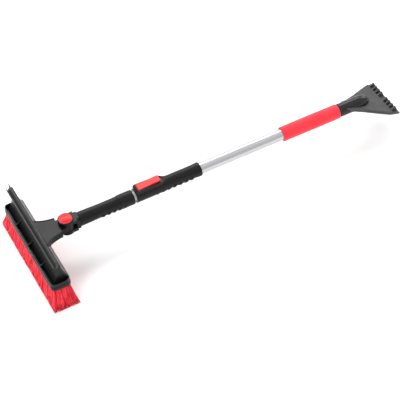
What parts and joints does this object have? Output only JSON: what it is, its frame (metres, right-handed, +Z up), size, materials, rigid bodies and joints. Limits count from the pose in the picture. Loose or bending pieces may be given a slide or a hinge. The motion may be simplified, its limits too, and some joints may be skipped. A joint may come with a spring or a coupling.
{
  "type": "windshield ice scraper",
  "caption": "Telescopic snow brush with a swivel bristle head and squeegee at one end, a lever tube lock, a foam grip and a toothed ice scraper blade at the other.",
  "frame": {"origin": "bottom centre of the bounding box of the retracted tool, in the plane of the bristle tips", "axes": "+X along the pole from the brush head to the scraper, +Y along the brush head, +Z up, from the bristle tips to the squeegee"},
  "size_m": [0.852, 0.283, 0.1195],
  "materials": {
    "aluminium": "satin anodised, fine lengthwise drawing lines",
    "nylon": "natural nylon",
    "black_plastic": "black polypropylene with a fine moulded grain",
    "scraper_plastic": "dark grey hard plastic, satin",
    "red_foam": "red closed-cell foam, matte",
    "red_bristle": "red synthetic bristle",
    "red_plastic": "red moulded plastic, semi-gloss",
    "rubber": "black rubber",
    "steel": "zinc-plated steel"
  },
  "bodies": {
    "handle": {"outer_tube": "aluminium", "guide_bush": "nylon", "lock_housing": "black_plastic", "housing_screws": "steel", "lever_pin": "steel", "foam_grip": "red_foam", "grip_ring": "black_plastic", "scraper": "scraper_plastic", "scraper_rivet": "scraper_plastic"},
    "lower_pole": {"inner_tube": "aluminium", "glide_ring": "nylon", "lower_grip": "black_plastic", "lower_grip_screw": "steel", "pivot_fork": "black_plastic", "button_collar": "black_plastic", "pivot_bolt": "steel", "pivot_washers": "steel", "button_spring": "steel"},
    "brush_head": {"head_yoke": "black_plastic", "barrel_bush": "nylon", "yoke_screws": "steel", "head_shell": "black_plastic", "squeegee_rail": "black_plastic", "squeegee_rubber": "rubber", "tuft_block": "black_plastic", "bristles": "red_bristle"},
    "button": {"button_cap": "red_plastic", "lock_pins": "steel"},
    "lock_lever": {"lock_lever": "red_plastic"},
    "lock_shoe": {"lock_shoe": "rubber"}
  },
  "joints": [
    {"name": "telescope", "type": "slide", "parent": "handle", "child": "lower_pole", "axis": [-1, 0, 0], "range_m": [0, 0.35]},
    {"name": "head_swivel", "type": "hinge", "parent": "lower_pole", "child": "brush_head", "pos_m": [-0.328, 0, 0.074], "axis": [0, 0, 1], "range_deg": [-90, 90]},
    {"name": "button_press", "type": "slide", "parent": "lower_pole", "child": "button", "axis": [0, 0, -1], "range_m": [0, 0.003], "stiffness_N_per_m": 900, "springref_m": -0.001, "deforming": ["button_spring"]},
    {"name": "lever_flip", "type": "hinge", "parent": "handle", "child": "lock_lever", "pos_m": [-0.1644, 0, 0.091], "axis": [0, -1, 0], "range_deg": [0, 75]},
    {"name": "shoe_lift", "type": "slide", "parent": "handle", "child": "lock_shoe", "axis": [0, 0, 1], "range_m": [0, 0.0006]}
  ],
  "couplings": [
    {"joint": "shoe_lift", "follows": "lever_flip", "m_per_rad": 0.0003}
  ]
}
